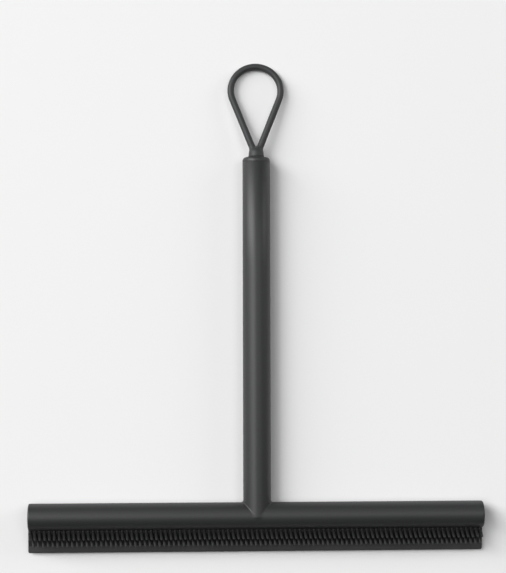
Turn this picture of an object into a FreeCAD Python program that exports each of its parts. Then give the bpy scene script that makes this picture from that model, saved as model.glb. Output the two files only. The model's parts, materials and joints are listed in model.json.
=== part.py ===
import FreeCAD, Part
import math
import os

# Window squeegee lying flat: the blade runs along X, the handle along +Y and up is +Z.
# The origin is under the middle of the outline, on the surface that the handle rests on.
# A section of the head is drawn in (u, v): u points from the head's axis towards the lip (-Y), v points up.
# All lengths are in millimetres and all angles in degrees.

# Head bar
bar_length = 288.0
head_radius = 8.5
head_bore = 7.2
mouth_top = 11.0
mouth_bottom = -52.0
bar_edge = 0.8
end_cap_thickness = 1.4
end_spigot_length = 8.0
fit_gap = 0.05

# Handle
handle_radius = 8.8
handle_bore = 7.0
handle_top = 227.6
cap_height = 3.0
cap_shoulder = 2.2
cap_spigot_length = 12.0
stem_bore = 3.58
seal_radius = 0.75
seal_depth = 7.0

# Joint between the handle and the head
plug_length = 34.0
insert_radius = 2.8
insert_start = 14.0
insert_length = 9.0
insert_waist_start = 6.0
insert_waist = 1.5
insert_waist_depth = 0.5
screw_radius = 1.95
screw_hole = 2.15
screw_length = 19.0
screw_head_radius = 3.4
screw_head_height = 2.4
screw_socket = 1.45
screw_socket_depth = 1.3
socket_corners = 6
washer_radius = 3.6
washer_seat = 5.0

# Hanging loop
cord_radius = 2.12
loop_radius = 16.03
loop_centre = 44.0
leg_start = 5.6
cord_sag = 6.9
neck_radius = 4.8
neck_flare = 5.2
flare_height = 1.35
neck_height = 5.3
neck_crown = 7.6
stem_radius = 3.5
stem_length = 17.0
stem_groove = 2.7
swivel_gap = 0.15
retainer_radius = 5.6
retainer_thickness = 1.1
retainer_slot = 4.4

# Carrier that fills the front half of the head's bore
carrier_back = -1.0
socket_gap = 0.06
slot_gap = 0.08
saddle_gap = 0.02

# Scrubbing combs: two strips laid back to back, which swing together about one bead
comb_pivot = (4.7, -0.6)
comb_bead = 1.5
comb_thickness = 1.0
comb_down = -8.0
comb_up = 12.0
front_elbow = 9.2
front_angle = 45.0
front_reach = 14.2
rear_elbow = 10.2
rear_angle = 24.0
rear_reach = 18.6
tooth_pitch = 3.035
tooth_gap = 1.3
tooth_count = 95
tooth_root = 7.9
tooth_slant = 0.12
tooth_offset = -0.43

# Wiping blade
blade_pivot = (3.9, -4.1)
blade_bead = 1.3
blade_neck = 1.3
blade_edge = 0.7
blade_reach = 23.1
blade_drop = -6.0
blade_corner = 1.0
blade_down = -25.0
blade_up = 8.0
strip_length = 288.5
strip_relief = 9.3

# Worked out from the sizes above
axis_z = handle_radius
cord_reach = loop_centre + loop_radius - leg_start
loop_top = handle_top + leg_start + cord_reach * math.cos(math.radians(cord_sag)) + cord_radius
head_y = (blade_reach - loop_top) / 2
top_y = head_y + handle_top
tube_length = bar_length - 2 * end_cap_thickness
spare = 1.0

x_axis = FreeCAD.Vector(1, 0, 0)
y_axis = FreeCAD.Vector(0, 1, 0)
z_axis = FreeCAD.Vector(0, 0, 1)
parts = {}


def at(x, y, z):
    return FreeCAD.Vector(x, y, z)


def section_point(uv, x=0.0):
    """A point of the head's section, at a place along the bar."""
    return at(x, head_y - uv[0], axis_z + uv[1])


def bar_along_x(radius, start, end, uv=(0.0, 0.0)):
    return Part.makeCylinder(radius, end - start, section_point(uv, start), x_axis)


def rod_along_y(radius, start, end):
    """A rod on the handle's axis. start and end are heights above the head's axis."""
    return Part.makeCylinder(radius, end - start, at(0, head_y + start, axis_z), y_axis)


def prism_along_x(outline, start, end):
    """The closed outline, a list of (u, v) corners, pulled along the bar."""
    corners = [section_point(uv, start) for uv in outline]
    face = Part.Face(Part.makePolygon(corners + corners[:1]))
    return face.extrude(at(end - start, 0, 0))


def turned(pivot, angle, along, across):
    """The (u, v) point that lies along and across a line leaving the pivot at an angle."""
    c = math.cos(math.radians(angle))
    s = math.sin(math.radians(angle))
    return (pivot[0] + along * c - across * s, pivot[1] + along * s + across * c)


def flared_slot(pivot, rest_angle, low, high, half_width):
    """The mouth of a bead socket, wide enough for the neck to swing from low to high."""
    reach = 3 * head_radius
    outline = [
        turned(pivot, rest_angle + high + spare, 0, half_width),
        turned(pivot, rest_angle + high + spare, reach, half_width),
        turned(pivot, rest_angle + low - spare, reach, -half_width),
        turned(pivot, rest_angle + low - spare, 0, -half_width),
    ]
    return prism_along_x(outline, -bar_length, bar_length)


def bent_strip(start, elbow, tip, thickness):
    """Outline of a strip that runs from start to elbow and bends up to tip, with one thickness."""
    first = math.degrees(math.atan2(elbow[1] - start[1], elbow[0] - start[0]))
    second = math.degrees(math.atan2(tip[1] - elbow[1], tip[0] - elbow[0]))
    middle = (first + second) / 2
    half = thickness / 2
    mitre = half / math.cos(math.radians((second - first) / 2))
    return [
        turned(start, first, 0, half),
        turned(elbow, middle, 0, mitre),
        turned(tip, second, 0, half),
        turned(tip, second, 0, -half),
        turned(elbow, middle, 0, -mitre),
        turned(start, first, 0, -half),
    ]


def end_reliefs():
    """What is cut from a rubber strip's ends, so that it clears the rims of the end caps."""
    inner = tube_length / 2 - slot_gap
    left = bar_along_x(strip_relief, -bar_length, -inner)
    return left.fuse(bar_along_x(strip_relief, inner, bar_length))


def head_tube():
    half = tube_length / 2
    tube = bar_along_x(head_radius, -half, half).cut(bar_along_x(head_bore, -half, half))
    reach = 2 * head_radius
    mouth = [(0.0, 0.0)]
    for angle in (mouth_bottom, (mouth_bottom + mouth_top) / 2, mouth_top):
        mouth.append(turned((0.0, 0.0), angle, reach, 0))
    tube = tube.cut(prism_along_x(mouth, -half, half))
    return tube.cut(rod_along_y(screw_hole, 0, 2 * head_radius))


def end_cap(side):
    inner = side * tube_length / 2
    outer = side * bar_length / 2
    disc = bar_along_x(head_radius, min(inner, outer), max(inner, outer))
    rim = [edge for edge in disc.Edges if abs(edge.CenterOfMass.x - outer) < fit_gap]
    disc = disc.makeFillet(bar_edge, rim)
    deep = inner - side * end_spigot_length
    spigot = bar_along_x(head_bore - fit_gap, min(inner, deep), max(inner, deep))
    back = carrier_back - fit_gap
    behind = [
        (back, -head_radius),
        (back, head_radius),
        (-head_radius, head_radius),
        (-head_radius, -head_radius),
    ]
    spigot = spigot.common(prism_along_x(behind, -bar_length, bar_length))
    return disc.fuse(spigot).removeSplitter()


def blade_carrier():
    half = tube_length / 2
    front = [
        (carrier_back, -head_radius),
        (head_radius, -head_radius),
        (head_radius, head_radius),
        (carrier_back, head_radius),
    ]
    carrier = bar_along_x(head_bore - fit_gap, -half, half).common(prism_along_x(front, -half, half))
    for pivot, bead in ((comb_pivot, comb_bead), (blade_pivot, blade_bead)):
        carrier = carrier.cut(bar_along_x(bead + socket_gap, -half, half, pivot))
    carrier = carrier.cut(flared_slot(comb_pivot, 0, comb_down, comb_up, comb_thickness + slot_gap))
    lip_angle = blade_angle()
    return carrier.cut(flared_slot(blade_pivot, lip_angle, blade_down, blade_up, blade_neck / 2 + slot_gap))


def comb(side, elbow_u, angle, reach, teeth):
    """One comb. side is 1 for the strip that lies above the bead's middle and -1 for the one below."""
    half = strip_length / 2
    middle = comb_pivot[1] + side * comb_thickness / 2
    rise = (reach - elbow_u) * math.tan(math.radians(angle))
    outline = bent_strip((comb_pivot[0], middle), (elbow_u, middle), (reach, middle + rise), comb_thickness)
    strip = prism_along_x(outline, -half, half)
    bead = bar_along_x(comb_bead, -half, half, comb_pivot)
    low, high = sorted((comb_pivot[1], comb_pivot[1] + side * head_radius))
    side_box = [(0, low), (head_radius, low), (head_radius, high), (0, high)]
    strip = strip.fuse(bead.common(prism_along_x(side_box, -half, half)))
    gap_ends = 2 * head_radius + blade_reach
    lean = tooth_slant * (gap_ends - tooth_root)
    gaps = []
    for i in range(teeth + 1):
        left = tooth_offset + (i - teeth / 2) * tooth_pitch - tooth_gap / 2
        corners = [
            at(left, head_y - tooth_root, 0),
            at(left + tooth_gap, head_y - tooth_root, 0),
            at(left + tooth_gap + lean, head_y - gap_ends, 0),
            at(left + lean, head_y - gap_ends, 0),
        ]
        gaps.append(Part.Face(Part.makePolygon(corners + corners[:1])).extrude(z_axis * 3 * head_radius))
    strip = strip.cut(end_reliefs()).cut(Part.makeCompound(gaps))
    return max(strip.Solids, key=lambda solid: solid.Volume).removeSplitter()


def blade_angle():
    run = blade_reach - blade_pivot[0]
    return math.degrees(math.atan2(blade_drop - blade_pivot[1], run))


def wiper_blade():
    half = strip_length / 2
    angle = blade_angle()
    length = math.hypot(blade_reach - blade_pivot[0], blade_drop - blade_pivot[1])
    outline = [
        turned(blade_pivot, angle, 0, blade_neck / 2),
        turned(blade_pivot, angle, length, blade_edge / 2),
        turned(blade_pivot, angle, length, -blade_edge / 2),
        turned(blade_pivot, angle, 0, -blade_neck / 2),
    ]
    lip = prism_along_x(outline, -half, half)
    tip = section_point(turned(blade_pivot, angle, length, 0))
    corners = []
    for edge in lip.Edges:
        middle = edge.CenterOfMass
        if abs(abs(middle.x) - half) < fit_gap and abs(middle.y - tip.y) < fit_gap:
            corners.append(edge)
    lip = lip.makeFillet(blade_corner, corners)
    blade = lip.fuse(bar_along_x(blade_bead, -half, half, blade_pivot)).removeSplitter()
    return blade.cut(end_reliefs())


def handle_tube():
    tube = rod_along_y(handle_radius, 0, handle_top - cap_height)
    tube = tube.cut(rod_along_y(handle_bore, 0, handle_top - cap_height))
    return tube.cut(bar_along_x(head_radius + saddle_gap, -bar_length, bar_length))


def handle_plug():
    plug = rod_along_y(handle_bore - fit_gap, 0, plug_length)
    plug = plug.cut(bar_along_x(head_radius + fit_gap, -bar_length, bar_length))
    plug = plug.cut(rod_along_y(screw_hole, 0, plug_length))
    return plug.cut(rod_along_y(insert_radius, insert_start, plug_length))


def thread_insert():
    end = insert_start + insert_length
    body = rod_along_y(insert_radius, insert_start, end)
    waist_low = insert_start + insert_waist_start
    waist_high = waist_low + insert_waist
    band = rod_along_y(insert_radius, waist_low, waist_high)
    band = band.cut(rod_along_y(insert_radius - insert_waist_depth, waist_low, waist_high))
    return body.cut(band).cut(rod_along_y(screw_radius + fit_gap, insert_start, end))


def joint_screw():
    head = rod_along_y(screw_head_radius, washer_seat - screw_head_height, washer_seat)
    shank = rod_along_y(screw_radius, washer_seat, washer_seat + screw_length)
    corners = []
    for i in range(socket_corners + 1):
        angle = 2 * math.pi * i / socket_corners
        x = screw_socket * math.cos(angle)
        z = axis_z + screw_socket * math.sin(angle)
        corners.append(at(x, head_y + washer_seat - screw_head_height, z))
    socket = Part.Face(Part.makePolygon(corners)).extrude(y_axis * screw_socket_depth)
    return head.fuse(shank).cut(socket)


def joint_washer():
    disc = rod_along_y(washer_radius, washer_seat, head_radius)
    disc = disc.common(bar_along_x(head_bore - fit_gap, -head_radius, head_radius))
    return disc.cut(rod_along_y(screw_hole, 0, head_radius))


def handle_cap():
    flange = rod_along_y(handle_radius, handle_top - cap_height, handle_top)
    rim = [edge for edge in flange.Edges if abs(edge.CenterOfMass.y - top_y) < fit_gap]
    flange = flange.makeFillet(cap_shoulder, rim)
    spigot_end = handle_top - cap_height - cap_spigot_length
    cap = flange.fuse(rod_along_y(handle_bore - fit_gap, spigot_end, handle_top - cap_height))
    groove_low = handle_top - cap_height - seal_depth - seal_radius - fit_gap
    groove_high = groove_low + 2 * (seal_radius + fit_gap)
    groove_floor = handle_bore - fit_gap - 2 * seal_radius
    groove = rod_along_y(handle_bore, groove_low, groove_high)
    cap = cap.cut(groove.cut(rod_along_y(groove_floor - fit_gap, groove_low, groove_high)))
    return cap.cut(rod_along_y(stem_bore, spigot_end, handle_top))


def cap_seal_ring():
    ring_radius = handle_bore - fit_gap - seal_radius
    centre = at(0, top_y - cap_height - seal_depth, axis_z)
    return Part.makeTorus(ring_radius, seal_radius, centre, y_axis)


def loop_cord():
    """The cord: a leg, a round bow and a leg, tangent to each other, sagging until the bow rests."""
    centre = at(0, top_y + loop_centre, axis_z)
    foot_y = top_y + leg_start
    rise = loop_centre - leg_start
    distance = math.hypot(cord_radius, rise)
    lean = math.asin(loop_radius / distance) - math.atan2(cord_radius, rise)
    length = math.sqrt(distance ** 2 - loop_radius ** 2)
    side = cord_radius + length * math.sin(lean)
    shoulder_y = foot_y + length * math.cos(lean)
    left_foot = at(-cord_radius, foot_y, axis_z)
    right_foot = at(cord_radius, foot_y, axis_z)
    left = at(-side, shoulder_y, axis_z)
    right = at(side, shoulder_y, axis_z)
    crown = centre + y_axis * loop_radius
    path = Part.Wire([
        Part.LineSegment(left_foot, left).toShape(),
        Part.Arc(left, crown, right).toShape(),
        Part.LineSegment(right, right_foot).toShape(),
    ])
    ring = Part.Wire(Part.Circle(left_foot, left - left_foot, cord_radius).toShape())
    cord = path.makePipeShell([ring], True, False)
    cord.rotate(at(0, foot_y, axis_z), x_axis, -cord_sag)
    return cord


def hanging_loop():
    base = top_y + swivel_gap
    foot = top_y - stem_length
    shape_points = [
        at(0, foot, axis_z),
        at(0, foot, axis_z + stem_radius),
        at(0, base, axis_z + stem_radius),
        at(0, base, axis_z + neck_flare),
        at(0, base + flare_height, axis_z + neck_radius),
        at(0, top_y + neck_height, axis_z + neck_radius),
    ]
    crown = at(0, top_y + neck_crown, axis_z)
    crown_side = math.sqrt(0.5)
    shoulder_y = top_y + neck_height + (neck_crown - neck_height) * crown_side
    shoulder = at(0, shoulder_y, axis_z + neck_radius * crown_side)
    edges = Part.makePolygon(shape_points).Edges
    edges.append(Part.Arc(shape_points[-1], shoulder, crown).toShape())
    edges.append(Part.makeLine(crown, shape_points[0]))
    neck = Part.Face(Part.Wire(edges)).revolve(at(0, 0, axis_z), y_axis, 360)
    loop = neck.fuse(loop_cord())
    groove_high = handle_top - cap_height - cap_spigot_length - swivel_gap
    groove_low = groove_high - retainer_thickness
    groove = rod_along_y(stem_radius + spare, groove_low, groove_high)
    return loop.cut(groove.cut(rod_along_y(stem_groove, groove_low, groove_high)))


def loop_retainer():
    high = handle_top - cap_height - cap_spigot_length - swivel_gap
    low = high - retainer_thickness
    ring = rod_along_y(retainer_radius, low, high).cut(rod_along_y(stem_groove, low, high))
    corner = at(-retainer_slot / 2, head_y + low, axis_z - 2 * retainer_radius)
    slot = Part.makeBox(retainer_slot, retainer_thickness, 2 * retainer_radius, corner)
    return ring.cut(slot)


parts["head_tube"] = head_tube()
parts["end_cap_left"] = end_cap(-1)
parts["end_cap_right"] = end_cap(1)
parts["blade_carrier"] = blade_carrier()
parts["comb_front"] = comb(1, front_elbow, front_angle, front_reach, tooth_count)
parts["comb_rear"] = comb(-1, rear_elbow, rear_angle, rear_reach, tooth_count - 1)
parts["wiper_blade"] = wiper_blade()
parts["handle_tube"] = handle_tube()
parts["handle_plug"] = handle_plug()
parts["thread_insert"] = thread_insert()
parts["joint_screw"] = joint_screw()
parts["joint_washer"] = joint_washer()
parts["handle_cap"] = handle_cap()
parts["cap_seal_ring"] = cap_seal_ring()
parts["hanging_loop"] = hanging_loop()
parts["loop_retainer"] = loop_retainer()

os.makedirs("parts", exist_ok=True)
for name, shape in parts.items():
    print(name, "solids", len(shape.Solids), "valid", shape.isValid(), "volume", round(shape.Volume, 1))
    shape.exportStep("parts/" + name + ".step")
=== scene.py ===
import json
import math
import random

import bpy
import numpy as np
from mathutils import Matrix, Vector, noise


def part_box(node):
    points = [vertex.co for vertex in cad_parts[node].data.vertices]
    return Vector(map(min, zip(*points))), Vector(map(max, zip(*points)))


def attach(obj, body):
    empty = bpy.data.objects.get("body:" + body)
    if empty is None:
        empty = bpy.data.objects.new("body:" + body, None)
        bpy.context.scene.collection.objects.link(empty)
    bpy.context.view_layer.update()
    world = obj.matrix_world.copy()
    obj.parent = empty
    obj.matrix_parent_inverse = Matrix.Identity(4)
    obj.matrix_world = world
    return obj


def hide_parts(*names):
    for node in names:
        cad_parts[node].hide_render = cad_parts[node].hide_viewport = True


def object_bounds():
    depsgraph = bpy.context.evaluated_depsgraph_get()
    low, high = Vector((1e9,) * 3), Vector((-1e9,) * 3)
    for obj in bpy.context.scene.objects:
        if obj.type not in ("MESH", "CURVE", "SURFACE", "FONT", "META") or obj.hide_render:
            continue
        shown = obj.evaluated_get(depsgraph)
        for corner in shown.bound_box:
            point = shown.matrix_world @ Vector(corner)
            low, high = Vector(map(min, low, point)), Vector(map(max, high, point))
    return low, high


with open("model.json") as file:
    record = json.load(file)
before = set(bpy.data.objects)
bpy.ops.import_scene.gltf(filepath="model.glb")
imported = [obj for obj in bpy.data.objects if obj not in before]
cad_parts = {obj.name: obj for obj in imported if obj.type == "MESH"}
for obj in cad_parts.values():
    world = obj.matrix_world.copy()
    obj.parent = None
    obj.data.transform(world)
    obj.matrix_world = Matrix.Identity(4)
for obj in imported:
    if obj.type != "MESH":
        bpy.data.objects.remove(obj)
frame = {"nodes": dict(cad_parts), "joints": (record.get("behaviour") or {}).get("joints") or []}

cadLow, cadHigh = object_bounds()  # the box around the imported CAD parts
mm = 0.001

# Where the CAD frame puts the head, the handle and the two flexing strips
headLow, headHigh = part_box("head_tube")
headRadius = (headHigh.z - headLow.z) / 2
axisZ = headRadius + headLow.z
headY = headHigh.y - headRadius
headHalf = headHigh.x
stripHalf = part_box("wiper_blade")[1].x
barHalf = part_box("end_cap_right")[1].x
endGap = 0.1 * mm  # what the strips inside the bar leave free at each end cap
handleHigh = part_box("handle_tube")[1]
handleRadius = handleHigh.x
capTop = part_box("handle_cap")[1].y
loopLow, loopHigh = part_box("hanging_loop")
jointAt = {joint["name"]: joint for joint in frame["joints"]}
print("frame loaded, head half length", round(headHalf, 4))


def at(u, v, x=0.0):
    # u points from the head's axis to the lip, v points up
    return (x, headY - u, axisZ + v)


def makePiece(name, points, faces, creaseAngle=38):
    mesh = bpy.data.meshes.new(name)
    mesh.from_pydata([tuple(p) for p in points], [], faces)
    mesh.validate()
    piece = bpy.data.objects.new(name, mesh)
    bpy.context.scene.collection.objects.link(piece)
    for polygon in mesh.polygons:
        polygon.use_smooth = True
    mesh.set_sharp_from_angle(angle=math.radians(creaseAngle))
    return piece


def loft(rings, closed=False, base=0):
    # quads between rings of equal length; open lofts get a lid on each end
    count = len(rings[0])
    points = [p for ring in rings for p in ring]
    faces = []
    last = len(rings) if closed else len(rings) - 1
    for i in range(last):
        here = base + i * count
        there = base + ((i + 1) % len(rings)) * count
        for k in range(count):
            n = (k + 1) % count
            faces.append((here + k, here + n, there + n, there + k))
    if not closed:
        faces.append(tuple(base + k for k in reversed(range(count))))
        faces.append(tuple(base + last * count + k for k in range(count)))
    return points, faces


def arcPoints(radius, start, end, steps, centre=(0.0, 0.0)):
    points = []
    for i in range(steps + 1):
        angle = math.radians(start + (end - start) * i / steps)
        points.append((centre[0] + radius * math.cos(angle), centre[1] + radius * math.sin(angle)))
    return points


def turnedPiece(name, profile, steps=128, creaseAngle=38):
    # profile is a closed outline of (radius, height along the handle) spun about the handle's axis
    rings = []
    for i in range(steps):
        angle = 2 * math.pi * i / steps
        rings.append([(r * math.sin(angle), y, axisZ + r * math.cos(angle)) for r, y in profile])
    points, faces = loft(rings, closed=True)
    return makePiece(name, points, faces, creaseAngle)


def smoothNoise(x, seed):
    return noise.noise(Vector((x, seed, 0.37 * seed)))


class Wire:  # a socket that can be used in Python arithmetic
    def __init__(self, tree, socket):
        self.tree = tree
        self.socket = socket

    def math(self, operation, first, second):
        return self.tree.make("ShaderNodeMath", {"operation": operation}, {0: first, 1: second})

    def __add__(self, other):
        return self.math("ADD", self, other)

    def __radd__(self, other):
        return self.math("ADD", other, self)

    def __sub__(self, other):
        return self.math("SUBTRACT", self, other)

    def __rsub__(self, other):
        return self.math("SUBTRACT", other, self)

    def __mul__(self, other):
        return self.math("MULTIPLY", self, other)

    def __rmul__(self, other):
        return self.math("MULTIPLY", other, self)

    def __abs__(self):
        return self.math("ABSOLUTE", self, 0.0)


class NodeTree:  # the node tree of one material or of the world
    def __init__(self, owner):
        owner.use_nodes = True
        self.tree = owner.node_tree
        self.tree.nodes.clear()

    def make(self, kind, settings=None, sockets=None, output=0):
        # one node: settings first, then the values or links of its sockets; returns one output
        node = self.tree.nodes.new(kind)
        for name, value in (settings or {}).items():
            setattr(node, name, value)
        for key, value in (sockets or {}).items():
            if isinstance(value, Wire):
                self.tree.links.new(value.socket, node.inputs[key])
            else:
                node.inputs[key].default_value = value
        return Wire(self, node.outputs[output]) if node.outputs else None


def fade(tree, value, low, high):
    # 0 below low and 1 above high, smoothly
    settings = {"interpolation_type": "SMOOTHSTEP"}
    return tree.make("ShaderNodeMapRange", settings, {0: value, 1: low, 2: high, 3: 0.0, 4: 1.0})


def blendColour(tree, factor, first, second):
    return tree.make("ShaderNodeMix", {"data_type": "RGBA"}, {0: factor, 6: first, 7: second}, 2)


def shade(grey, tint=(1.0, 1.0, 1.0)):
    return (grey * tint[0], grey * tint[1], grey * tint[2], 1.0)


def startMaterial(name):
    material = bpy.data.materials.new(name)
    tree = NodeTree(material)
    coords = tree.make("ShaderNodeTexCoord", output="Object")
    return material, tree, coords


def grain(tree, coords, size, detail=2.0, stretch=(1.0, 1.0, 1.0)):
    # noise whose blobs are about size metres across
    place = tree.make("ShaderNodeVectorMath", {"operation": "MULTIPLY"}, {0: coords, 1: stretch})
    return tree.make("ShaderNodeTexNoise", None, {"Vector": place, "Scale": 1 / size, "Detail": detail})


def fromAxis(tree, coords, place):
    # distance from a line along X through place
    flat = tree.make("ShaderNodeVectorMath", {"operation": "MULTIPLY"}, {0: coords, 1: (0.0, 1.0, 1.0)})
    line = (0.0, place[1], place[2])
    return tree.make("ShaderNodeVectorMath", {"operation": "DISTANCE"}, {0: flat, 1: line}, "Value")


def finishMaterial(tree, colour, roughness, height, look, depth=0.0001):
    normal = tree.make("ShaderNodeBump", None, {"Height": height, "Distance": depth, "Strength": 1.0})
    sockets = {"Base Color": colour, "Roughness": roughness, "Normal": normal}
    sockets.update(look)
    surface = tree.make("ShaderNodeBsdfPrincipled", None, sockets)
    tree.make("ShaderNodeOutputMaterial", None, {"Surface": surface})


satinLook = {
    "grey": 0.023,
    "tint": (0.965, 1.0, 1.02),
    "mottle": 0.05,  # how far the grey drifts from place to place
    "roughness": 0.46,
    "grainSize": 0.00028,
    "grainHeight": 0.05,
    "specular": 0.5,
}


def satinShell(name, look):
    # fine-etched moulded plastic: a tight even grain and a faint cloudiness in the gloss
    material, tree, coords = startMaterial(name)
    cloud = grain(tree, coords, 0.022, 3.0)
    flow = grain(tree, coords, 0.006, 2.0, (1.0, 0.3, 1.0))
    spark = grain(tree, coords, look["grainSize"], 1.0)
    shift = (cloud - 0.5) * look["mottle"] + (flow - 0.5) * (look["mottle"] * 0.5) + 0.5
    low = shade(look["grey"] * 0.9, look["tint"])
    high = shade(look["grey"] * 1.1, look["tint"])
    colour = blendColour(tree, shift, low, high)
    roughness = (cloud - 0.5) * 0.03 + (spark - 0.5) * 0.06 + look["roughness"]
    height = spark * look["grainHeight"] + flow * 0.02
    finishMaterial(tree, colour, roughness, height, {"Specular IOR Level": look["specular"]})
    return material


siliconeLook = {
    "grey": 0.032,
    "tint": (0.97, 1.0, 1.03),
    "roughness": 0.52,
    "specular": 0.4,
    "sheen": 0.06,
    "sheenRoughness": 0.4,
    "partWidth": 0.12 * mm,
}


def moulded(name, look, bendY, sag):
    # matt silicone with the thin parting line of its mould along the middle plane, which dips past bendY
    material, tree, coords = startMaterial(name)
    cloud = grain(tree, coords, 0.009, 3.0)
    fine = grain(tree, coords, 0.00022, 2.0)
    along = tree.make("ShaderNodeSeparateXYZ", None, {0: coords}, 1)
    up = tree.make("ShaderNodeSeparateXYZ", None, {0: coords}, 2)
    hang = tree.make("ShaderNodeMath", {"operation": "MAXIMUM"}, {0: along - bendY, 1: 0.0})
    away = abs(up - axisZ + hang * math.tan(math.radians(sag)))
    seam = 1 - fade(tree, away, look["partWidth"] * 0.4, look["partWidth"] * 1.6)
    dusty = fade(tree, cloud, 0.52, 0.75)
    clean = shade(look["grey"], look["tint"])
    base = blendColour(tree, dusty, clean, shade(look["grey"] * 1.16, look["tint"]))
    roughness = (fine - 0.5) * 0.08 + dusty * 0.05 + look["roughness"]
    height = fine * 0.04 + seam * 0.35
    more = {"Specular IOR Level": look["specular"], "Sheen Weight": look["sheen"]}
    more["Sheen Roughness"] = look["sheenRoughness"]
    finishMaterial(tree, base, roughness, height, more)
    return material


combLook = {
    "grey": 0.017,
    # painted shade: the rear row's root is coloured darker than the front row because the front row shades
    # it
    "darkGrey": 0.004,
    "tipGrey": 0.024,
    "tint": (0.99, 1.0, 1.02),
    "roughness": 0.5,
    "specular": 0.26,
    "frontRubbed": (7.2 * mm, 10.4 * mm),  # from the bead's axis: where the paler tip starts, and where it is full
    # painted shade: the rear row stays near-black out to here, under the front row, and turns paler further
    # out
    "rearRubbed": (10.2 * mm, 12.4 * mm),
}


def combRubber(name, look, grey, tipFadeFrom, tipFadeTo):
    # near-black rubber, paler towards the tip; on the rear row the near-black root is painted shade from the
    # front row
    material, tree, coords = startMaterial(name)
    away = fromAxis(tree, coords, jointAt["comb_flex"]["pos_m"])
    patch = grain(tree, coords, 0.004, 2.0)
    fine = grain(tree, coords, 0.0002, 2.0)
    tipFade = fade(tree, away + (patch - 0.5) * 0.002, tipFadeFrom, tipFadeTo)
    colour = blendColour(tree, tipFade, shade(grey, look["tint"]), shade(look["tipGrey"], look["tint"]))
    roughness = look["roughness"] + (patch - 0.5) * 0.12 + tipFade * 0.06
    finishMaterial(tree, colour, roughness, fine * 0.05, {"Specular IOR Level": look["specular"]})
    return material


lipLook = {
    "grey": 0.044,
    # painted shade: the lip's colour where the combs shade it
    "rootGrey": 0.006,
    "tint": (1.0, 0.985, 1.02),
    "roughness": 0.42,
    "specular": 0.42,
    # painted shade: the lip is near-black out to here, where the combs shade it
    "wornFrom": 14.4 * mm,  # distances from the bead's axis
    "wornTo": 15.2 * mm,
}


def lipRubber(name, look):
    # extruded rubber: fine drawn lines along the blade; under the combs it is painted near-black as painted
    # shade from the combs
    material, tree, coords = startMaterial(name)
    away = fromAxis(tree, coords, jointAt["wiper_flex"]["pos_m"])
    lines = grain(tree, coords, 0.00035, 2.0, (0.02, 1.0, 1.0))
    bloom = grain(tree, coords, 0.012, 3.0, (0.6, 1.0, 1.0))
    fine = grain(tree, coords, 0.0002, 1.0)
    shift = fade(tree, bloom, 0.4, 0.72)
    # painted shade under the combs, fading out past the combs' reach
    pastCombShade = fade(tree, away, look["wornFrom"], look["wornTo"])
    dull = shade(look["grey"] * 0.94, look["tint"])
    pale = shade(look["grey"] * 1.08, look["tint"])
    outerTone = blendColour(tree, shift, dull, pale)
    colour = blendColour(tree, pastCombShade, shade(look["rootGrey"], look["tint"]), outerTone)
    roughness = look["roughness"] + (lines - 0.5) * 0.12 + shift * 0.06
    height = lines * 0.05 + fine * 0.02
    finishMaterial(tree, colour, roughness, height, {"Specular IOR Level": look["specular"]})
    return material


def plainMoulding(name, grey, roughness):
    material, tree, coords = startMaterial(name)
    cloud = grain(tree, coords, 0.004, 3.0)
    fine = grain(tree, coords, 0.0003, 2.0)
    colour = blendColour(tree, cloud, shade(grey * 0.85), shade(grey * 1.15))
    finishMaterial(tree, colour, roughness + (fine - 0.5) * 0.1, fine * 0.06, {"Specular IOR Level": 0.45})
    return material


def turnedMetal(name, colour, dark, roughness):
    # lathe marks run round the handle's axis
    material, tree, coords = startMaterial(name)
    rings = grain(tree, coords, 0.0002, 2.0, (0.05, 1.0, 0.05))
    stain = grain(tree, coords, 0.002, 3.0)
    tone = blendColour(tree, fade(tree, stain, 0.45, 0.75), colour, dark)
    finishMaterial(tree, tone, roughness + (rings - 0.5) * 0.2, rings * 0.08, {"Metallic": 1.0})
    return material


shellFinish = satinShell("satin_dark_grey", satinLook)
frontFinish = combRubber("comb_rubber_front", combLook, combLook["grey"], *combLook["frontRubbed"])
# the rear row's darker grey is painted shade from the front row
rearFinish = combRubber("comb_rubber_rear", combLook, combLook["darkGrey"], *combLook["rearRubbed"])
lipFinish = lipRubber("lip_rubber", lipLook)
carrierFinish = plainMoulding("carrier_black", 0.018, 0.5)
innerFinish = plainMoulding("inner_grey", 0.11, 0.45)
sealFinish = plainMoulding("seal_black", 0.012, 0.38)
brassFinish = turnedMetal("insert_brass", (0.72, 0.53, 0.24, 1), (0.5, 0.34, 0.14, 1), 0.3)
steelFinish = turnedMetal("screw_steel", (0.56, 0.57, 0.58, 1), (0.42, 0.42, 0.43, 1), 0.28)
print("finishes made")


def keep(piece, finish, body, slot, *nodes):
    # one call for what every new piece needs
    piece.data.materials.clear()
    piece.data.materials.append(finish)
    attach(piece, body)
    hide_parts(*nodes)


bar = {
    "wall": 1.3 * mm,
    "mouthTop": 11.0,  # degrees above the level of the axis
    "mouthBottom": -52.0,
    "lipRound": 0.35 * mm,
    "seam": 0.10 * mm,
    "arcSteps": 120,
    "roundSteps": 6,
}


def barSection(outer):
    inner = headRadius - bar["wall"]
    start = bar["mouthTop"]
    end = 360 + bar["mouthBottom"]
    ease = math.degrees(bar["lipRound"] / outer)
    outside = arcPoints(outer, start + ease, end - ease, bar["arcSteps"])
    inside = arcPoints(inner, end - ease, start + ease, bar["arcSteps"] // 2)
    lower = roundedMouth(outside[-1], inside[0])
    upper = roundedMouth(inside[-1], outside[0])
    return outside + lower + inside + upper


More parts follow.
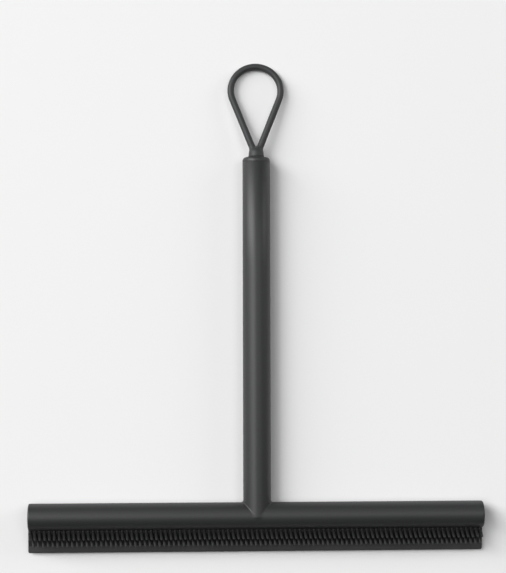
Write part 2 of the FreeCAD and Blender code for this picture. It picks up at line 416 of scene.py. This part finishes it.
def roundedMouth(first, second):
    # the half-round edge of the wall between its outer and its inner face
    middle = (Vector(first) + Vector(second)) / 2
    half = (Vector(first) - Vector(second)) / 2
    out = Vector((half.y, -half.x)).normalized()
    points = []
    for i in range(1, bar["roundSteps"] + 1):
        angle = math.pi * i / (bar["roundSteps"] + 1)
        points.append(tuple(middle + half * math.cos(angle) + out * (-bar["lipRound"] * math.sin(angle))))
    return points


def buildBar():
    rings = []
    stations = [(-headHalf, bar["seam"]), (-headHalf + bar["seam"], 0), (0, 0)]
    stations += [(headHalf - bar["seam"], 0), (headHalf, bar["seam"])]
    for x, less in stations:
        rings.append([at(u, v, x) for u, v in barSection(headRadius - less)])
    points, faces = loft(rings)
    return makePiece("bar_shell", points, faces)


barShell = buildBar()
keep(barShell, shellFinish, "frame", "bar_shell", "head_tube")

endCap = {
    "edge": 0.95 * mm,
    "seam": 0.10 * mm,
    "dome": 0.12 * mm,
    "gate": 1.1 * mm,  # the small dimple where the plastic was let in
    "gateDepth": 0.12 * mm,
    "edgeSteps": 8,
    "steps": 96,
}


def buildEndCap(side):
    # profile of (radius, distance out from the bar's end), from the back of the rim to the middle
    thick = barHalf - headHalf
    edge = endCap["edge"]
    seam = endCap["seam"]
    profile = [(headRadius - bar["wall"], 0.0), (headRadius - seam, 0.0), (headRadius, seam)]
    for i in range(endCap["edgeSteps"] + 1):
        angle = math.pi / 2 * i / endCap["edgeSteps"]
        r = headRadius - edge + edge * math.cos(angle)
        profile.append((r, thick - edge + edge * math.sin(angle) - endCap["dome"] * (r / headRadius) ** 2))
    for share in (0.75, 0.5, 0.3):
        profile.append((headRadius * share, thick - endCap["dome"] * share ** 2))
    gate = endCap["gate"]
    depth = endCap["gateDepth"]
    profile += [(gate, thick), (gate * 0.85, thick - depth), (gate * 0.4, thick - depth * 1.1)]
    rings = []
    for r, d in profile:
        ring = []
        for k in range(endCap["steps"]):
            angle = 2 * math.pi * k / endCap["steps"]
            ring.append(at(r * math.cos(angle), r * math.sin(angle), side * (headHalf + d)))
        rings.append(ring if side > 0 else ring[::-1])
    points, faces = loft(rings)
    name = "end_cap_right_shell" if side > 0 else "end_cap_left_shell"
    return makePiece(name, points, faces)


for side, node in ((-1, "end_cap_left"), (1, "end_cap_right")):
    keep(buildEndCap(side), shellFinish, "frame", "bar_shell", node)
print("head bar made")


handle = {
    "bore": 7.0 * mm,
    "meltTop": 0.4 * mm,  # how far from the crease the two tubes melt together
    "meltSide": 1.7 * mm,
    "meltBelow": 0.5 * mm,
    "meltTurn": 0.7,  # how steep the skin is where the side's melt has given way to the top's
    "nose": 2.2 * mm,
    "seam": 0.07 * mm,
    "around": 180,
    "footSteps": 14,
    "tuck": 0.03 * mm,
}


def noseRadius(y):
    # past the head's axis the handle's tube closes like a blunt nose
    return handleRadius - min(y, 0.0) ** 2 / (2 * handle["nose"])


def meltedGap(spread, y, up, melt):
    # distance to the skin of handle and bar together, at a distance spread from the handle's axis
    toHandle = spread - noseRadius(y)
    toBar = math.hypot(y, spread * up) - headRadius
    share = min(max(0.5 + 0.5 * (toBar - toHandle) / melt, 0.0), 1.0)
    return toBar + (toHandle - toBar) * share - melt * share * (1 - share)


def halve(test, low, high, steps=34):
    # the place between low and high where test turns from true to false
    for i in range(steps):
        middle = (low + high) / 2
        if test(middle):
            low = middle
        else:
            high = middle
    return low


def footProfile(angle):
    # (along, spread) points of the melted foot, from the bar's surface up to the plain handle
    up = math.cos(angle)
    far = min(abs(up) / handle["meltTurn"], 1.0)
    end = handle["meltTop"] if up > 0 else handle["meltBelow"]
    melt = handle["meltSide"] + (end - handle["meltSide"]) * far * far * (3 - 2 * far)
    level = max(abs(up), 0.0001)
    high = math.sqrt((headRadius + melt) ** 2 - (handleRadius * up) ** 2)

    def stillMelted(y):
        return math.sqrt(headRadius ** 2 - y ** 2) / level - noseRadius(y) < melt

    low = halve(stillMelted, headRadius * 0.99999, -headRadius * 0.6)
    points = []
    for i in range(handle["footSteps"] + 1):
        share = (1 - math.cos(math.pi * i / handle["footSteps"])) / 2
        y = low + (high - low) * share
        spread = halve(lambda r: meltedGap(r, y, up, melt) < 0, 0.0, handleRadius * 2)
        points.append((y, spread - (handle["tuck"] if i == 0 else 0.0)))
    return points


def handleRing(angle):
    # closed outline of the handle's wall at one angle about its axis
    side = math.sin(angle)
    up = math.cos(angle)
    top = handleHigh.y - headY
    outline = footProfile(angle)
    foot = outline[-1][0]
    for share in (0.35, 0.7):
        outline.append((foot + (top - foot) * share, handleRadius))
    bore = handle["bore"]
    outline += [(top - handle["seam"], handleRadius), (top, handleRadius - handle["seam"]), (top, bore)]
    outline.append((math.sqrt(headRadius ** 2 - (bore * up) ** 2), bore))
    return [(r * side, headY + y, axisZ + r * up) for y, r in outline]


def buildHandle():
    rings = [handleRing(2 * math.pi * i / handle["around"]) for i in range(handle["around"])]
    points, faces = loft(rings, closed=True)
    return makePiece("handle_shell", points, faces, 50)


handleShell = buildHandle()
keep(handleShell, shellFinish, "frame", "bar_shell", "handle_tube")

cap = {
    "shoulder": 2.2 * mm,
    "shoulderSteps": 10,
    "bore": 3.58 * mm,
    "collarSeat": 5.35 * mm,  # the shallow ring that the loop's collar sits in
    "seatDepth": 0.25 * mm,
    "play": 0.05 * mm,
    "seam": 0.07 * mm,
}


def buildHandleCap():
    top = capTop
    bottom = handleHigh.y
    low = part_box("handle_cap")[0].y
    s = cap["shoulder"]
    seat = cap["collarSeat"]
    inner = handle["bore"] - cap["play"]
    profile = [(cap["bore"], low), (cap["bore"], top - cap["seatDepth"]), (seat, top - cap["seatDepth"])]
    profile += [(seat + 0.08 * mm, top - 0.02 * mm), (seat + 0.2 * mm, top)]
    for i in range(cap["shoulderSteps"] + 1):
        angle = math.pi / 2 * (1 - i / cap["shoulderSteps"])
        profile.append((handleRadius - s + s * math.cos(angle), top - s + s * math.sin(angle)))
    profile += [(handleRadius, bottom + cap["seam"]), (handleRadius - cap["seam"], bottom)]
    profile += [(inner, bottom), (inner, low)]
    return turnedPiece("handle_cap_shell", profile[::-1])


keep(buildHandleCap(), shellFinish, "frame", "bar_shell", "handle_cap")
print("handle made")


loop = {
    "cord": 2.12,  # all in mm: the skin is worked out at that scale
    "bow": 16.03,
    "legStart": 5.6,
    "sag": 6.9,  # degrees that the soft cord hangs down from the neck
    "neck": 4.8,
    "crown": 7.2,  # how high the neck's dome fills the fork of the legs
    "collar": 5.1,
    "collarFade": 0.55,
    "stem": 3.5,
    "gap": 0.42,  # between the cap's top and the collar
    "blend": 1.3,
    "evenness": 0.012,  # cast silicone is never quite even
    "bowSteps": 48,
    "voxel": 0.24,
    "settle": 6,
}


def smoothMin(a, b, k):
    h = np.clip(0.5 + 0.5 * (b - a) / k, 0, 1)
    return b + (a - b) * h - k * h * (1 - h)


sagSine = math.sin(math.radians(loop["sag"]))
sagCosine = math.cos(math.radians(loop["sag"]))


def loopCentre():
    # the bow's centre measured along the sagging cord
    run = (loopHigh.y - capTop) / mm - loop["cord"] - loop["legStart"]
    return loop["legStart"] + run / sagCosine - loop["bow"]


def legTangent():
    # where a straight leg meets the bow, in mm from the cap's top
    rise = loopCentre() - loop["legStart"]
    distance = math.hypot(loop["cord"], rise)
    lean = math.asin(loop["bow"] / distance) - math.atan2(loop["cord"], rise)
    length = math.sqrt(distance ** 2 - loop["bow"] ** 2)
    return loop["cord"] + length * math.sin(lean), loop["legStart"] + length * math.cos(lean)


def segmentDistance(p, a, b):
    along = b - a
    t = np.clip(((p - a) @ along) / (along @ along), 0, 1)
    return np.linalg.norm(p - a - t[:, None] * along, axis=1)


def loopField(p):
    # distance to the loop's skin in mm; x across, y along from the cap's top, z up from the axis
    sideX, sideY = legTangent()
    centre = loopCentre()
    run = p[:, 1] - loop["legStart"]
    alongCord = loop["legStart"] + run * sagCosine - p[:, 2] * sagSine
    q = np.stack([p[:, 0], alongCord, run * sagSine + p[:, 2] * sagCosine], 1)
    mirrored = q.copy()
    mirrored[:, 0] = np.abs(mirrored[:, 0])
    legFoot = np.array([loop["cord"], loop["legStart"], 0.0])
    leg = segmentDistance(mirrored, legFoot, np.array([sideX, sideY, 0.0]))
    ringPart = np.sqrt((np.hypot(q[:, 0], q[:, 1] - centre) - loop["bow"]) ** 2 + q[:, 2] ** 2)
    above = (mirrored[:, 0] * (centre - sideY) + (q[:, 1] - centre) * sideX) > 0
    line = np.where(above, ringPart, leg)
    swell = 1 + loop["evenness"] * np.sin(p[:, 1] * 0.23 + p[:, 0] * 0.11)
    cordSkin = line - loop["cord"] * swell
    across = np.hypot(p[:, 0], p[:, 2])
    base = loop["gap"]
    flare = np.exp(-np.maximum(p[:, 1] - base - 0.5, 0) / loop["collarFade"])
    radius = loop["neck"] + (loop["collar"] - loop["neck"]) * flare
    dome = np.hypot(across, np.maximum(p[:, 1] - (loop["crown"] - loop["neck"]), 0)) - radius
    neckSkin = -smoothMin(-dome, -(base - p[:, 1]), 0.35)
    skin = smoothMin(cordSkin, neckSkin, loop["blend"])
    foot = (loopLow.y - capTop) / mm
    stemSkin = -smoothMin(-(across - loop["stem"]), -(foot - p[:, 1]), 0.3)
    stemSkin = np.maximum(stemSkin, p[:, 1] - base - 1)
    return smoothMin(skin, stemSkin, 0.2)


def fieldSlope(p, step=0.01):
    slope = np.zeros_like(p)
    for i in range(3):
        move = np.zeros(3)
        move[i] = step
        slope[:, i] = (loopField(p + move) - loopField(p - move)) / (2 * step)
    return slope


def tubeAlong(path, radius, around=20):
    rings = []
    for i, here in enumerate(path):
        ahead = path[min(i + 1, len(path) - 1)] - path[max(i - 1, 0)]
        ahead.normalize()
        flat = Vector((0, 0, 1)).cross(ahead)
        ring = []
        for k in range(around):
            angle = 2 * math.pi * k / around
            ring.append(here + flat * (radius * math.cos(angle)) + Vector((0, 0, radius * math.sin(angle))))
        rings.append(ring)
    return loft(rings)


def buildLoop():
    # rough volumes are joined by a remesh, then every point is drawn onto the smooth skin
    sideX, sideY = legTangent()
    centre = loopCentre()
    start = math.atan2(sideY - centre, sideX)
    path = [Vector((loop["cord"], loop["legStart"] - 3, 0)), Vector((loop["cord"], loop["legStart"], 0))]
    for i in range(loop["bowSteps"] + 1):
        angle = start + (math.pi - 2 * start) * i / loop["bowSteps"]
        path.append(Vector((loop["bow"] * math.cos(angle), centre + loop["bow"] * math.sin(angle), 0)))
    path += [Vector((-loop["cord"], loop["legStart"], 0)), Vector((-loop["cord"], loop["legStart"] - 3, 0))]
    points, faces = tubeAlong(path, loop["cord"])
    for place in points:
        run = place.y - loop["legStart"]
        place.y = loop["legStart"] + run * sagCosine + place.z * sagSine
        place.z = place.z * sagCosine - run * sagSine
    foot = (loopLow.y - capTop) / mm
    stack = [(foot, loop["stem"]), (loop["gap"], loop["stem"]), (loop["gap"], loop["collar"])]
    stack += [(1.6, loop["neck"]), (3.5, loop["neck"]), (6.0, 3.2), (loop["crown"], 0.6)]
    turns = np.linspace(0, 2 * math.pi, 48, False)
    rings = []
    for y, r in stack:
        rings.append([Vector((r * math.sin(a), y, r * math.cos(a))) for a in turns])
    morePoints, moreFaces = loft(rings, base=len(points))
    rough = makePiece("loop_rough", points + morePoints, faces + moreFaces)
    remesh = rough.modifiers.new("skin", "REMESH")
    remesh.mode = "VOXEL"
    remesh.voxel_size = loop["voxel"]
    bpy.context.view_layer.update()
    shaped = bpy.data.meshes.new_from_object(rough.evaluated_get(bpy.context.evaluated_depsgraph_get()))
    bpy.data.objects.remove(rough)
    p = np.zeros(len(shaped.vertices) * 3)
    shaped.vertices.foreach_get("co", p)
    p = p.reshape(-1, 3)
    for i in range(loop["settle"]):
        slope = fieldSlope(p)
        size = np.maximum((slope ** 2).sum(axis=1), 0.25)
        p -= slope * (loopField(p) / size)[:, None]
    p = p * mm + np.array([0.0, capTop, axisZ])
    shaped.vertices.foreach_set("co", p.ravel())
    shaped.update()
    piece = bpy.data.objects.new("loop_skin", shaped)
    bpy.context.scene.collection.objects.link(piece)
    for polygon in shaped.polygons:
        polygon.use_smooth = True
    return piece


loopFinish = moulded("matt_silicone", siliconeLook, capTop + loop["legStart"] * mm, loop["sag"])
loopSkin = buildLoop()
keep(loopSkin, loopFinish, "loop", "loop_silicone", "hanging_loop")
print("hanging loop made,", len(loopSkin.data.vertices), "points")


combs = {  # what both rows share
    "pitch": 3.035 * mm,
    "width": 1.75 * mm,
    "tipWidth": 1.55 * mm,
    "thickness": 1.15 * mm,
    "tipThickness": 0.95 * mm,
    "slant": 0.12,  # sideways per millimetre of reach
    "offset": -0.43 * mm,
    "trim": 1.1 * mm,  # the last teeth are cut this far short of the lip's end
    "root": 7.9 * mm,
    "strip": 1.0 * mm,
    "bead": 1.5 * mm,
    "ease": 1.0 * mm,  # how far from the elbow its bend starts
    "around": 16,
    "squareness": 3.2,
    "strayX": 0.10 * mm,
    "strayBend": 0.14 * mm,
    "strayLength": 0.10 * mm,
    "seed": 11,
}
frontComb = {"side": 1, "elbow": 9.6 * mm, "angle": 45.0, "reach": 14.3 * mm, "teeth": 95}
rearComb = {"side": -1, "elbow": 10.2 * mm, "angle": 24.0, "reach": 18.7 * mm, "teeth": 94}


def toothRing(centre, forward, halfWidth, halfThick):
    # a soft-cornered oblong across the tooth; centre is (u, v, x)
    across = Vector((-forward.y, forward.x))
    power = 2 / combs["squareness"]
    ring = []
    for k in range(combs["around"]):
        angle = 2 * math.pi * (k + 0.5) / combs["around"]
        c = math.cos(angle)
        s = math.sin(angle)
        wide = math.copysign(abs(c) ** power, c) * halfWidth
        thick = math.copysign(abs(s) ** power, s) * halfThick
        x = min(centre[2] + wide, stripHalf - combs["trim"])
        ring.append(at(centre[0] + across.x * thick, centre[1] + across.y * thick, x))
    return ring


def toothRings(comb, x, sway, bend, longer):
    # the middle line runs straight out of the mouth, rounds the elbow and rises to the tip
    bead = jointAt["comb_flex"]["pos_m"]
    middle = bead[2] - axisZ + comb["side"] * combs["strip"] / 2
    slope = math.radians(comb["angle"])
    rise = (comb["reach"] - comb["elbow"]) * math.tan(slope)
    start = Vector((combs["root"] - 0.5 * mm, middle))
    elbow = Vector((comb["elbow"], middle))
    tip = Vector((comb["reach"] + longer * math.cos(slope), middle + rise + longer * math.sin(slope)))
    into = elbow + (start - elbow).normalized() * combs["ease"]
    out = elbow + (tip - elbow).normalized() * combs["ease"]
    line = [start]
    for i in range(6):
        t = i / 5
        line.append(into * (1 - t) ** 2 + elbow * (2 * t * (1 - t)) + out * t ** 2)
    tipRound = combs["tipWidth"] * 0.5
    length = (tip - out).length
    shares = [0.33, 0.66, 1 - tipRound / length]
    shares += [1 - tipRound / length * (1 - math.sin(math.pi / 2 * k / 5)) for k in range(1, 6)]
    for share in shares:
        line.append(out + (tip - out) * share)
    rings = []
    for i, here in enumerate(line):
        before = line[max(i - 1, 0)]
        after = line[min(i + 1, len(line) - 1)]
        forward = (after - before).normalized()
        run = min(max((here.x - elbow.x) / (tip.x - elbow.x), 0), 1)
        halfWidth = (combs["width"] + (combs["tipWidth"] - combs["width"]) * run) / 2
        halfThick = (combs["thickness"] + (combs["tipThickness"] - combs["thickness"]) * run) / 2
        past = (here - tip).length
        if past < tipRound and i > len(line) - 7:
            shrink = math.sqrt(max(1 - (1 - past / tipRound) ** 2, 0.0))
            halfWidth *= max(shrink, 0.12)
            halfThick *= max(0.35 + 0.65 * shrink, 0.35)
        across = Vector((-math.sin(slope), math.cos(slope)))
        place = here + across * (bend * run ** 2)
        lean = x + combs["slant"] * (here.x - combs["root"]) + sway * run ** 2
        rings.append(toothRing((place.x, place.y, lean), forward, halfWidth, halfThick))
    return rings


def stripOutline(side):
    # half bead and neck: what holds the teeth inside the carrier
    bead = jointAt["comb_flex"]["pos_m"]
    middleU = headY - bead[1]
    middleV = bead[2] - axisZ
    opening = math.degrees(math.asin(combs["strip"] / combs["bead"]))
    arc = arcPoints(combs["bead"], side * 180, side * opening, 14)
    outline = [(middleU + u, middleV + v) for u, v in arc]
    outline.append((combs["root"], middleV + side * combs["strip"]))
    outline.append((combs["root"], middleV))
    return outline


def buildComb(name, comb, rng):
    outline = stripOutline(comb["side"])
    half = headHalf - endGap
    rings = [[at(u, v, x) for u, v in outline] for x in (-half, 0, half)]
    points, faces = loft(rings)
    for i in range(comb["teeth"]):
        x = combs["offset"] + (i - (comb["teeth"] - 1) / 2) * combs["pitch"]
        drift = smoothNoise(x * 60, 3.1 * comb["side"])
        sway = rng.uniform(-1, 1) * combs["strayX"] + drift * combs["strayX"]
        bend = rng.uniform(-1, 1) * combs["strayBend"]
        longer = rng.uniform(-1, 0.3) * combs["strayLength"]
        more, moreFaces = loft(toothRings(comb, x, sway, bend, longer), base=len(points))
        points += more
        faces += moreFaces
    return makePiece(name, points, faces, 60)


rng = random.Random(combs["seed"])
combFront = buildComb("comb_front_teeth", frontComb, rng)
keep(combFront, frontFinish, "combs", "comb_rubber", "comb_front")
combRear = buildComb("comb_rear_teeth", rearComb, rng)
keep(combRear, rearFinish, "combs", "comb_rubber", "comb_rear")
print("combs made,", len(combFront.data.vertices) + len(combRear.data.vertices), "points")


lip = {
    "reach": 23.1 * mm,
    "drop": -6.0 * mm,
    "bead": 1.3 * mm,
    "neck": 1.3 * mm,
    "edge": 0.75 * mm,
    "corner": 1.0 * mm,
    "wave": 0.16 * mm,
    "relief": 9.3 * mm,  # past the bar's ends the lip starts this far from the head's axis
    "stations": 90,
    "seed": 4.7,
}


def lipSection(x, past):
    # outline in (u, v): round bead, neck, long taper and a rounded working edge
    bead = jointAt["wiper_flex"]["pos_m"]
    centre = Vector((headY - bead[1], bead[2] - axisZ))
    tip = Vector((lip["reach"], lip["drop"]))
    along = (tip - centre).normalized()
    across = Vector((-along.y, along.x))
    length = (tip - centre).length
    inset = stripHalf - abs(x)
    if inset < lip["corner"]:
        length -= lip["corner"] - math.sqrt(max(lip["corner"] ** 2 - (lip["corner"] - inset) ** 2, 0.0))
    wave = lip["wave"] * (smoothNoise(x * 22, lip["seed"]) + 0.5 * smoothNoise(x * 75, lip["seed"] + 3))
    opening = math.degrees(math.asin(lip["neck"] / 2 / lip["bead"]))
    edge = lip["edge"] / 2
    shares = (0.25, 0.5, 0.75, 0.93)
    points = arcPoints(lip["bead"], opening, 360 - opening, 20)[::-1]
    for share in shares:
        points.append((length * share, thickAt(share)))
    for i in range(7):
        angle = math.pi / 2 - math.pi * i / 6
        points.append((length - edge + edge * math.cos(angle), edge * math.sin(angle)))
    for share in shares[::-1]:
        points.append((length * share, -thickAt(share)))
    placed = []
    for a, c in points:
        ripple = wave * max(a / length, 0.0) ** 2
        if past:
            c = max(min(c, lip["neck"] / 2), -lip["neck"] / 2)
        p = centre + along * a + across * (c + ripple)
        if past and p.length < lip["relief"]:
            forward = p.dot(along)
            p += along * (math.sqrt(forward ** 2 - p.length_squared + lip["relief"] ** 2) - forward)
        placed.append((p.x, p.y))
    return placed


def thickAt(share):
    return (lip["neck"] + (lip["edge"] - lip["neck"]) * share) / 2


def buildLip():
    inner = headHalf - endGap
    plain = inner - 0.6 * mm
    ends = [-stripHalf + lip["corner"] * (1 - math.cos(math.pi / 2 * i / 5)) for i in range(6)]
    middle = [-plain + 2 * plain * i / lip["stations"] for i in range(lip["stations"] + 1)]
    rings = []
    for x in ends + middle + [-x for x in ends[::-1]]:
        rings.append([at(u, v, x) for u, v in lipSection(x, abs(x) > inner)])
    points, faces = loft(rings)
    return makePiece("lip_blade", points, faces, 50)


keep(buildLip(), lipFinish, "wiper", "lip_rubber", "wiper_blade")
print("lip made")


innerFinishes = {  # the pieces inside keep their CAD shape
    "blade_carrier": carrierFinish,
    "handle_plug": innerFinish,
    "loop_retainer": innerFinish,
    "thread_insert": brassFinish,
    "joint_screw": steelFinish,
    "joint_washer": steelFinish,
    "cap_seal_ring": sealFinish,
}
for node, finish in innerFinishes.items():
    mesh = frame["nodes"][node].data
    mesh.materials.clear()
    mesh.materials.append(finish)
print("inner pieces finished")


studio = {
    "floorGrey": 0.82,
    "floorSize": 3.0,
    "lampDistance": 7.0,
    "roomGlow": 0.02,
    "backdrop": 0.86,
}
lamps = {  # direction round from +X, height above the floor (degrees), size (m), power (W)
    "key_softbox": (150, 45, 3.9, 334),
    "top_softbox": (178, 67, 3.6, 132),
    "crown_softbox": (25, 68, 3.6, 80),
    "low_left": (155, 20, 3.4, 190),
    "low_right": (20, 22, 3.4, 88),
    "back_light": (85, 45, 2.8, 18),
}


def buildFloor():
    size = studio["floorSize"]
    ticks = [-1.0, -0.5, 0.0, 0.5, 1.0]
    points = [(x * size, y * size, cadLow.z) for y in ticks for x in ticks]
    n = len(ticks)
    faces = []
    for row in range(n - 1):
        for col in range(n - 1):
            a = row * n + col
            faces.append((a, a + 1, a + n + 1, a + n))
    floor = makePiece("studio_floor", points, faces)
    material, tree, coords = startMaterial("floor_paper")
    fibre = grain(tree, coords, 0.0008, 3.0)
    colour = blendColour(tree, fibre, shade(studio["floorGrey"] * 0.995), shade(studio["floorGrey"] * 1.005))
    finishMaterial(tree, colour, 0.9, fibre * 0.02, {"Specular IOR Level": 0.1})
    floor.data.materials.append(material)


def softbox(name, direction, height, size, power):
    turn = math.radians(direction)
    rise = math.radians(height)
    away = Vector((math.cos(turn) * math.cos(rise), math.sin(turn) * math.cos(rise), math.sin(rise)))
    data = bpy.data.lights.new(name, "AREA")
    data.shape = "DISK"
    data.size = size
    data.energy = power
    lamp = bpy.data.objects.new(name, data)
    lamp.location = away * studio["lampDistance"]
    lamp.rotation_mode = "QUATERNION"
    lamp.rotation_quaternion = away.to_track_quat("Z", "Y")
    bpy.context.scene.collection.objects.link(lamp)


def buildRoom():
    # the room gives hardly any light of its own but is pale behind the floor's edge
    world = bpy.data.worlds.new("pale_room")
    bpy.context.scene.world = world
    tree = NodeTree(world)
    seen = tree.make("ShaderNodeLightPath", output=0)
    glow = tree.make("ShaderNodeBackground", None, {"Strength": studio["roomGlow"]})
    pale = tree.make("ShaderNodeBackground", None, {"Color": shade(studio["backdrop"]), "Strength": 1.0})
    mixed = tree.make("ShaderNodeMixShader", None, {0: seen, 1: glow, 2: pale})
    tree.make("ShaderNodeOutputWorld", None, {"Surface": mixed})


buildFloor()
for name, values in lamps.items():
    softbox(name, *values)
buildRoom()
bpy.context.scene.view_settings.view_transform = "Standard"

camera = {
    "height": 1.0,  # above the tubes' axes
    "lens": 98.9,
    "side": -0.0555,
    "along": -0.0369,
    "tip": (2.8, -3.04, -0.15),  # degrees
}
cameraData = bpy.data.cameras.new("camera")
cameraData.lens = camera["lens"]
cameraData.clip_start = 0.01
eye = bpy.data.objects.new("camera", cameraData)
eye.location = (camera["side"], camera["along"], axisZ + camera["height"])
eye.rotation_euler = [math.radians(angle) for angle in camera["tip"]]
bpy.context.scene.collection.objects.link(eye)
bpy.context.scene.camera = eye
print("studio ready")
